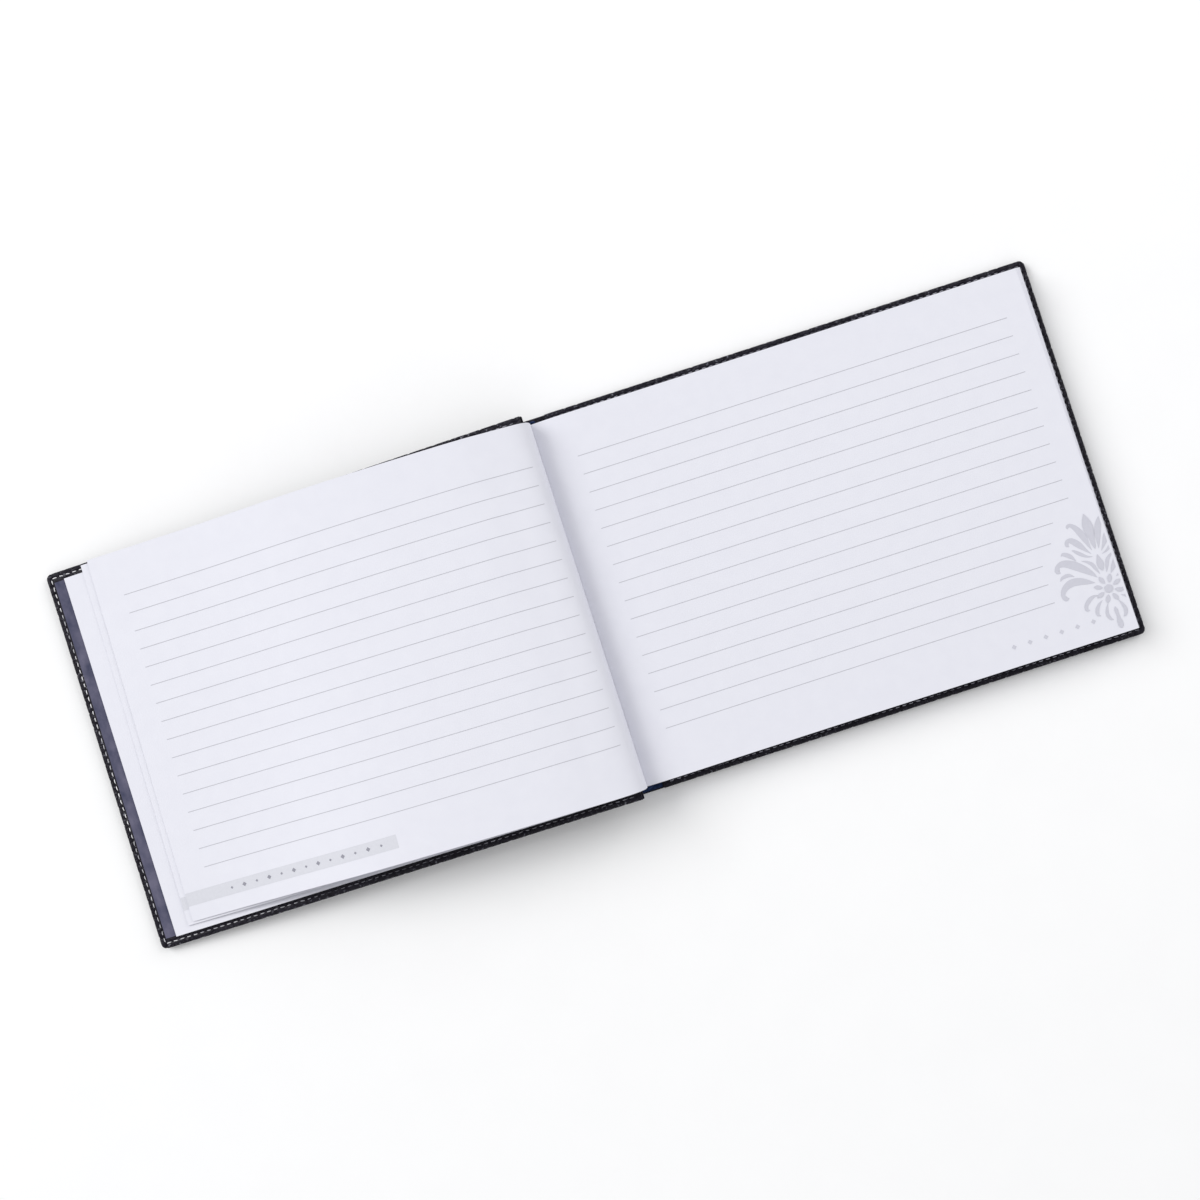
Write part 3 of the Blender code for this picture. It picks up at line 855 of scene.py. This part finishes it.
def corner_flourish(place):
    """A garden flourish: fronds of changing width, drawn on one side of an upright stem and mirrored.

    Each frond is a smooth curve through (out, up, width) points in millimetres from the flower's middle.
    """
    stem, flower = 222.2 * MM, -64.0 * MM
    on_stem = [
        [(0, 18.6, 0.2), (0, 20.5, 1.6), (0, 24.0, 2.6), (0, 28.5, 4.6), (0, 32.0, 3.2), (0, 35.0, 0.2)],
        [(0, 8.3, 0.2), (0, 10.0, 2.4), (0, 12.0, 3.0), (0, 14.2, 1.6), (0, 16.0, 0.2)],
        [(0, -8.4, 0.2), (0, -10.0, 1.5), (0, -13.0, 1.3), (0, -15.6, 2.3), (0, -17.4, 2.1),
         (0, -18.4, 0.2)],
    ]
    beside = [
        [(1.6, 18.4, 0.2), (2.4, 21.5, 1.6), (3.4, 25.5, 3.0), (5.2, 29.5, 2.6), (7.2, 31.8, 1.6),
         (8.6, 31.6, 1.5), (8.9, 30.6, 0.3)],
        [(2.4, 17.0, 0.2), (4.4, 19.6, 1.5), (6.4, 22.4, 2.9), (8.8, 25.0, 2.6), (10.8, 25.4, 1.7),
         (11.4, 23.9, 1.8), (10.7, 22.9, 0.3)],
        [(2.2, 15.6, 0.2), (4.6, 16.4, 1.0), (7.2, 18.4, 1.7), (9.2, 20.3, 1.1), (10.2, 21.0, 0.2)],
        [(1.5, 7.3, 0.2), (2.6, 10.0, 1.4), (3.6, 12.4, 1.7), (5.6, 14.2, 1.0), (7.6, 15.2, 0.2)],
        [(3.2, 6.2, 0.2), (5.0, 8.6, 2.0), (8.0, 11.6, 3.4), (11.8, 14.6, 3.8), (15.4, 16.4, 3.0),
         (18.3, 16.0, 2.0), (19.2, 13.9, 2.2), (18.0, 12.9, 0.3)],
        [(9.8, 15.8, 0.2), (11.6, 18.6, 1.9), (14.2, 20.4, 1.7), (15.6, 20.0, 0.2)],
        [(4.9, 4.2, 0.2), (7.6, 5.4, 1.9), (11.2, 6.8, 3.2), (15.0, 7.2, 3.4), (18.4, 5.8, 2.7),
         (20.2, 3.2, 1.9), (19.4, 1.2, 2.1), (18.0, 1.2, 0.3)],
        [(12.8, 9.6, 0.2), (15.2, 10.9, 1.6), (18.0, 10.6, 1.3), (19.4, 9.4, 0.2)],
        [(5.2, -1.6, 0.2), (7.4, -1.4, 1.2), (9.8, -2.4, 1.9), (11.9, -4.4, 1.7),
         (12.2, -6.2, 1.5), (11.0, -6.8, 0.3)],
        [(4.4, -4.2, 0.2), (6.2, -5.4, 1.1), (7.8, -7.4, 1.7), (8.3, -9.6, 1.4), (7.2, -10.6, 0.3)],
        [(2.5, -6.2, 0.2), (3.6, -8.4, 1.1), (4.2, -11.0, 1.6), (3.4, -13.2, 1.2), (2.3, -13.8, 0.2)],
    ]
    ring = np.radians(np.arange(8) * 45.0 + 22.5)
    petal = ((2.7, 0.2), (3.7, 1.5), (5.2, 1.9), (6.6, 0.3))
    petals = [[(r * math.sin(a), r * math.cos(a), w) for r, w in petal] for a in ring]
    disc = [(0, 1.9 * up, 3.8 * math.sqrt(1 - min(up * up, 0.995))) for up in np.linspace(-1, 1, 9)]
    fronds = [(side, frond) for side in (1, -1) for frond in beside]
    fronds += [(1, frond) for frond in on_stem + petals + [disc]]
    marks = []
    for layer, (side, frond) in enumerate(fronds):
        walk = curve_through(np.array(frond) * MM, 6)
        line = np.stack([stem - side * walk[:, 0], flower + walk[:, 1]], axis=1)
        marks.append(ribbon(place, line, np.clip(walk[:, 2], 0.05 * MM, None), layer))
    return marks


def diamond_row(place, first, last, height, sizes):
    """A row of small lozenges between two distances from the gutter."""
    marks = []
    for s, size in zip(np.linspace(first, last, len(sizes)), sizes):
        line = np.array([(s - size / 2, height), (s, height), (s + size / 2, height)])
        marks.append(ribbon(place, line, [0.0, size, 0.0], 5))
    return marks


def ink(name, colour):
    """Matte printing ink on paper, slightly uneven in its cover."""
    made, nodes, links, shader = surface(name, colour, 0.8)
    patches = noise(nodes, links, (900.0, 900.0, 900.0), 3.0)
    lighter = tuple(min(c * 1.02, 1.0) for c in colour)
    darker = tuple(c * 0.98 for c in colour)
    links.new(blended_colour(nodes, links, patches, darker, lighter), shader.inputs["Base Color"])
    return made


rule_ink = ink("rule_ink", (0.52, 0.52, 0.57))
pale_ink = ink("pale_ink", (0.60, 0.60, 0.67))
strip_ink = ink("strip_ink", (0.675, 0.68, 0.735))
mark_ink = ink("mark_ink", (0.30, 0.30, 0.35))


def printed_leaf(name, sheet, prints):
    """One leaf with its print: the closed sheet first, then each set of marks in its own ink."""
    points, faces = sheet
    top = points[faces[len(faces) // 4]]
    if np.cross(top[1] - top[0], top[2] - top[0])[2] < 0:
        faces = faces[:, ::-1]
    all_points, all_faces, inks = [points], [faces], [np.zeros(len(faces), int)]
    count = len(points)
    for number, (finish, marks) in enumerate(prints, start=1):
        for mark_points, mark_faces in marks:
            all_points.append(mark_points)
            all_faces.append(mark_faces + count)
            inks.append(np.full(len(mark_faces), number))
            count += len(mark_points)
    leaf = new_piece(name, np.concatenate(all_points), list(np.concatenate(all_faces)), paper, outward=False)
    for finish, marks in prints:
        leaf.data.materials.append(finish)
    leaf.data.polygons.foreach_set("material_index", np.concatenate(inks).astype(np.int32))
    return leaf


page_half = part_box("turning_leaf")[1][1]
loose_ends = ((227.3 * MM, 0.7 * MM), (226.7 * MM, 1.0 * MM))
for number, (head_end, swell) in enumerate(loose_ends, start=1):
    node = f"rear_loose_leaf_{number}"
    place, width = rear_leaf_shape(node, swell, head_end)
    loose = printed_leaf(f"loose_leaf_{number}", leaf_sheet(place, width, page_half), [])
    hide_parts(node)
    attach(loose, "back_cover")

right_page, right_width = rear_leaf_shape("turning_leaf", swell=1.3 * MM, head_end=226.0 * MM)
stops = [RULE_STOP] * 11 + [208.1 * MM, 204.3 * MM, 197.6 * MM, 197.3 * MM, 197.4 * MM]
turning = printed_leaf("ruled_turning_leaf", leaf_sheet(right_page, right_width, page_half, -0.5 * MM), [
    (rule_ink, ruled_lines(right_page, stops)),
    (pale_ink, corner_flourish(right_page)
     + diamond_row(right_page, 174 * MM, 211 * MM, -76.0 * MM, np.full(6, 2.3 * MM))),
])
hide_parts("turning_leaf")
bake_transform(turning)


# ---------------------------------------------------------------------------------------------------
# Front leaves.  The flyleaf, a second leaf and the ruled top leaf climb steeply out of the gutter, arch
# over the edge of the front cover and fall back to it.  Each is turned a little in its own plane.

def even_walk(path, step=0.5 * MM):
    """A path as evenly stepped points, run on straight at both ends, with the gutter edge at s = 0."""
    path = np.vstack([path[0] - (path[1] - path[0]) * 4, path, path[-1] + (path[-1] - path[-2]) * 6])
    lengths = np.concatenate([[0.0], np.cumsum(np.linalg.norm(np.diff(path, axis=0), axis=1))])
    even = np.arange(0, lengths[-1], step)
    return even - lengths[1], np.interp(even, lengths, path[:, 0]), np.interp(even, lengths, path[:, 1])


def front_leaf_shape(points, skew_degrees, wave_height, phase, foot_lift):
    """place(s, t, up) for a front leaf: a path, a small turn in its own plane, waves and a lifted foot edge.

    The lift is highest two thirds out and fades towards the head, the gutter and the fore-edge.
    """
    walk, path_x, path_z = even_walk(curve_through(np.array(points) * MM, 12))
    slope_x = np.gradient(path_x, walk)
    slope_z = np.gradient(path_z, walk)
    lean = math.tan(math.radians(skew_degrees))

    def place(s, t, up):
        s, t, up = np.broadcast_arrays(s, t, up)
        settled = np.clip(s / (40 * MM), 0, 1)
        along = s - t * lean * settled
        x = np.interp(along, walk, path_x)
        z = np.interp(along, walk, path_z)
        tx = np.interp(along, walk, slope_x)
        tz = np.interp(along, walk, slope_z)
        loose = np.clip((s - 20 * MM) / (80 * MM), 0, 1)
        wave = wave_height * loose * np.sin(s / (34 * MM) + phase) * np.sin(t / (30 * MM) + 1.7 * phase)
        towards_foot = np.clip((20 * MM - t) / (105 * MM), 0, 1) ** 2
        height = up + wave + foot_lift * towards_foot * np.exp(-((s - 150 * MM) / (42 * MM)) ** 2)
        return np.stack([x + tz * height, t + s * lean * settled, z - tx * height], axis=-1)

    return place


BANNER_START = 120.5 * MM
BANNER_HEIGHT = -74.9 * MM
BANNER_WIDTH = 6.0 * MM
BANNER_STEPS = 100
LEFT_RULE_STOP = 212.0 * MM
RULES_ON_PAGE = 16
front_kinds = [
    ("front_flyleaf", "plain_flyleaf", 0.0, 0.04, 0.4, 0.0, [
        (-2.9, 12.3), (-4.3, 18.0), (-7.0, 22.75), (-20.0, 24.6), (-45.0, 23.8), (-80.0, 19.6),
        (-120.0, 14.6), (-160.0, 10.8), (-224.8, 5.15)]),
    ("front_second_leaf", "second_leaf", 0.8, 0.12, 1.9, 2.6, [
        (-2.5, 12.6), (-3.2, 18.4), (-5.2, 23.3), (-10.0, 25.4), (-20.0, 26.9), (-43.0, 28.4), (-80.0, 25.6),
        (-120.0, 19.2), (-160.0, 12.9), (-190.0, 9.0), (-216.6, 6.3)]),
    ("front_top_leaf", "ruled_top_leaf", 1.1, 0.10, 3.1, 3.2, [
        (-2.1, 12.9), (-2.35, 18.6), (-3.9, 24.0), (-9.0, 27.3), (-20.0, 29.2), (-42.0, 31.0), (-80.0, 29.4),
        (-119.0, 24.0), (-156.0, 15.2), (-190.0, 9.9), (-213.4, 7.2)]),
]
for node, name, skew, wave, phase, foot_lift, points in front_kinds:
    place = front_leaf_shape(points, skew, wave * MM, phase, foot_lift * MM)
    span = curve_through(np.array(points) * MM, 12)
    width = np.linalg.norm(np.diff(span, axis=0), axis=1).sum()
    prints = []
    if node != "front_flyleaf":
        banner_s = np.linspace(BANNER_START, width, BANNER_STEPS)
        banner_line = np.stack([banner_s, np.full(BANNER_STEPS, BANNER_HEIGHT)], 1)
        banner = ribbon(place, banner_line, np.full(BANNER_STEPS, BANNER_WIDTH))
        sizes = np.tile([1.3, 2.1], 7)[:13] * MM
        prints = [(rule_ink, ruled_lines(place, [LEFT_RULE_STOP] * RULES_ON_PAGE)),
                  (strip_ink, [banner]),
                  (mark_ink, diamond_row(place, 128 * MM, 202 * MM, BANNER_HEIGHT, sizes))]
    leaf = printed_leaf(name, leaf_sheet(place, width, page_half), prints)
    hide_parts(node)
    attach(leaf, "front_leaves")
    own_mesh(leaf)


# ---------------------------------------------------------------------------------------------------
# Studio.  A plain white floor, a soft even surround, a broad light from the left, a weaker one from the
# right, and a camera nearly overhead, turned so that the book lies on a slant.

FLOOR_DROP = 0.2 * MM
SURROUND_STRENGTH = 0.555
SOFTBOX_SIZE = 2.6
FOCAL_LENGTH = 46.2
CAMERA_SPOT = (5.8 * MM, -15.9 * MM, 700 * MM)


def white_floor():
    """Matte white sweep, very slightly uneven."""
    made, nodes, links, shader = surface("white_floor", (0.97, 0.97, 0.97), 0.9)
    grain = noise(nodes, links, (40.0, 40.0, 40.0))
    links.new(blended_colour(nodes, links, grain, (0.965, 0.965, 0.968), (0.975, 0.975, 0.978)),
              shader.inputs["Base Color"])
    return made


reach = np.linspace(-2.0, 2.0, 9)
floor_x, floor_y = np.meshgrid(reach, reach, indexing="ij")
floor_points = np.stack([floor_x, floor_y, np.full_like(floor_x, cad_low.z - FLOOR_DROP)], axis=-1)
floor = new_piece("studio_floor", floor_points, list(strip_faces(9, 9)), white_floor(), outward=False)

world = bpy.data.worlds.new("soft_surround")
world.use_nodes = True
world.node_tree.nodes["Background"].inputs["Color"].default_value = (0.985, 0.99, 1.0, 1.0)
world.node_tree.nodes["Background"].inputs["Strength"].default_value = SURROUND_STRENGTH
bpy.context.scene.world = world

softboxes = (("left_softbox", 118.0, (-2.7, 2.1, 2.7)), ("right_softbox", 36.0, (2.6, 1.4, 2.0)))
for name, energy, spot in softboxes:
    lamp = bpy.data.lights.new(name, "AREA")
    lamp.energy = energy
    lamp.size = SOFTBOX_SIZE
    softbox = bpy.data.objects.new(name, lamp)
    softbox.location = spot
    softbox.rotation_mode = "QUATERNION"
    softbox.rotation_quaternion = Vector(spot).to_track_quat("Z", "Y")
    bpy.context.scene.collection.objects.link(softbox)

lens = bpy.data.cameras.new("overhead_camera")
lens.lens = FOCAL_LENGTH
lens.sensor_width = 36.0
lens.clip_start = 0.02
lens.clip_end = 20.0
camera = bpy.data.objects.new("overhead_camera", lens)
camera.location = CAMERA_SPOT
tilt, turn_aside, roll = 0.0241, 0.0035, -0.3126
axes = [("X", tilt), ("Y", turn_aside), ("Z", roll)]
bpy.context.scene.collection.objects.link(camera)
aim = Matrix.Identity(4)
for axis, angle in axes:
    aim = aim @ Matrix.Rotation(angle, 4, axis)
camera.matrix_world = Matrix.Translation(camera.location) @ aim
bpy.context.scene.camera = camera
bpy.context.scene.view_settings.view_transform = "Standard"
